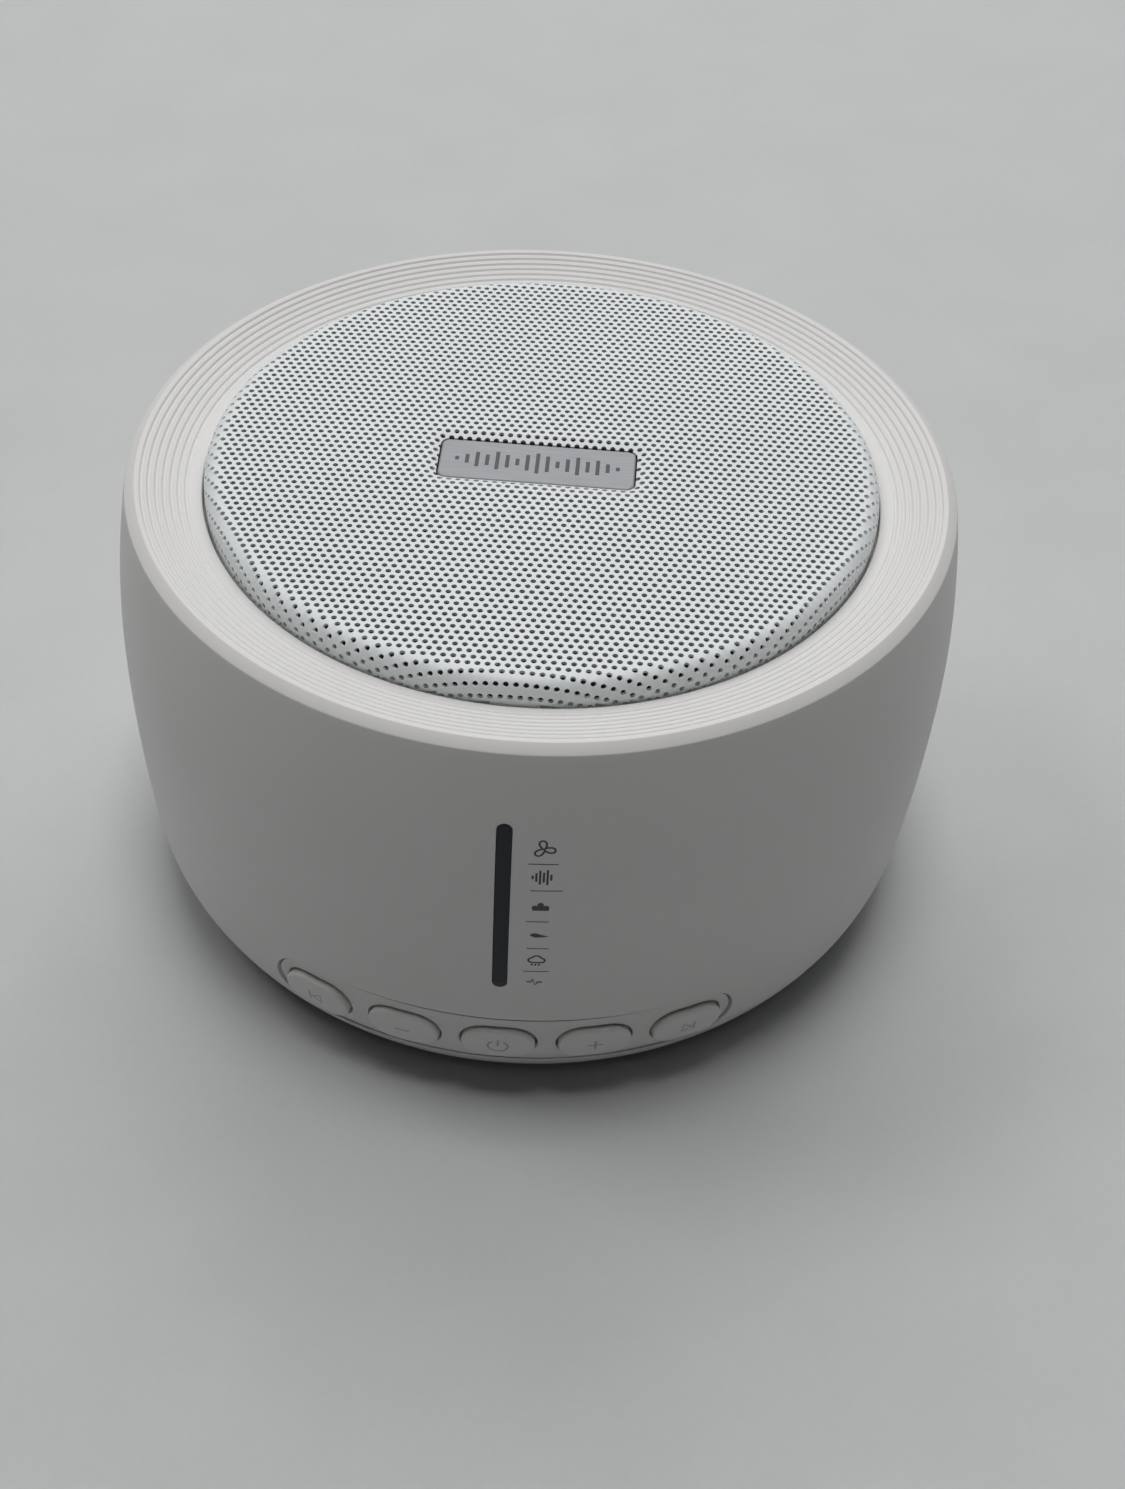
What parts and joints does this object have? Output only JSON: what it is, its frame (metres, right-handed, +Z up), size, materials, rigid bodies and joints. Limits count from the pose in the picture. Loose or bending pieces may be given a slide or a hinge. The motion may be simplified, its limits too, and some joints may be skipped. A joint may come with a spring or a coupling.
{
  "type": "white noise sound machine",
  "caption": "Round white table-top sound machine with a domed perforated grille, grooved top ring, upright light strip and a curved row of push buttons.",
  "frame": {"origin": "on the table under the middle of the machine, level with the soles of its rubber feet", "axes": "+Z up along the machine's round axis, -Y towards the light strip and the buttons, +X to the viewer's right"},
  "size_m": [0.105, 0.105, 0.0598],
  "materials": {
    "white_housing": "fine matte moulded",
    "white_grille": "satin white paint on perforated sheet",
    "bonding_tape": "matte",
    "dust_cloth": "fine acoustic cloth",
    "satin_plate": "fine satin",
    "dark_window": "dark tinted, smooth",
    "white_panel": "fine matte moulded",
    "white_buttons": "fine matte moulded",
    "white_base": "matte moulded",
    "foot_rubber": "matte",
    "black_plastic": "matte moulded",
    "amber_film": "amber film over copper",
    "inner_plastic": "matte moulded",
    "screw_steel": "zinc plated",
    "emitter_plastic": "clear yellow",
    "green_board": "solder mask",
    "basket_steel": "black painted pressing",
    "foam_gasket": "closed foam",
    "black_rubber": "matte",
    "paper_cone": "coated paper",
    "black_paper": "coated paper",
    "copper_winding": "enamelled copper wire",
    "spider_cloth": "treated cloth",
    "plated_steel": "zinc plated",
    "ferrite": "matte sintered",
    "brown_board": "pressed board",
    "wire_sleeve": "smooth",
    "capacitor_can": "satin can",
    "socket_plastic": "moulded",
    "ribbon_film": "flat film cable",
    "inlet_steel": "bright plated"
  },
  "bodies": {
    "machine": {"housing": "white_housing", "grille": "white_grille", "grille_tape": "bonding_tape", "dust_cloth": "dust_cloth", "nameplate": "satin_plate", "led_window": "dark_window", "button_panel": "white_panel", "key_switches": "black_plastic", "key_circuit": "amber_film", "key_bracket": "inner_plastic", "bracket_screws": "screw_steel", "light_divider": "inner_plastic", "light_emitters": "emitter_plastic", "led_board": "green_board", "led_screws": "screw_steel", "speaker_basket": "basket_steel", "speaker_gasket": "foam_gasket", "speaker_screws": "screw_steel", "surround": "black_rubber", "spider": "spider_cloth", "speaker_top_plate": "plated_steel", "speaker_magnet": "ferrite", "speaker_yoke": "plated_steel", "speaker_terminals": "brown_board", "speaker_leads": "wire_sleeve", "main_board": "green_board", "board_screws": "screw_steel", "sound_chip": "black_plastic", "amplifier_chip": "black_plastic", "capacitors": "capacitor_can", "speaker_socket": "socket_plastic", "ribbon_sockets": "socket_plastic", "led_ribbon": "ribbon_film", "key_ribbon": "ribbon_film", "power_inlet": "inlet_steel", "base_plate": "white_base", "base_screws": "screw_steel", "rubber_feet": "foot_rubber"},
    "button_previous": {"button_previous": "white_buttons", "plunger_previous": "black_plastic"},
    "button_volume_down": {"button_volume_down": "white_buttons", "plunger_volume_down": "black_plastic"},
    "button_power": {"button_power": "white_buttons", "plunger_power": "black_plastic"},
    "button_volume_up": {"button_volume_up": "white_buttons", "plunger_volume_up": "black_plastic"},
    "button_next": {"button_next": "white_buttons", "plunger_next": "black_plastic"},
    "cone_assembly": {"speaker_cone": "paper_cone", "dust_cap": "black_paper", "voice_coil": "copper_winding"}
  },
  "joints": [
    {"name": "press_previous", "type": "slide", "parent": "machine", "child": "button_previous", "axis": [0.4415, 0.8973, 0], "range_m": [0, 0.0005], "stiffness_N_per_m": 2000},
    {"name": "press_volume_down", "type": "slide", "parent": "machine", "child": "button_volume_down", "axis": [0.2267, 0.974, 0], "range_m": [0, 0.0005], "stiffness_N_per_m": 2000},
    {"name": "press_power", "type": "slide", "parent": "machine", "child": "button_power", "axis": [0, 1, 0], "range_m": [0, 0.0005], "stiffness_N_per_m": 2000},
    {"name": "press_volume_up", "type": "slide", "parent": "machine", "child": "button_volume_up", "axis": [-0.2267, 0.974, 0], "range_m": [0, 0.0005], "stiffness_N_per_m": 2000},
    {"name": "press_next", "type": "slide", "parent": "machine", "child": "button_next", "axis": [-0.4415, 0.8973, 0], "range_m": [0, 0.0005], "stiffness_N_per_m": 2000},
    {"name": "cone_stroke", "type": "slide", "parent": "machine", "child": "cone_assembly", "axis": [0, 0, 1], "range_m": [-0.0006, 0.0006], "stiffness_N_per_m": 1500}
  ]
}
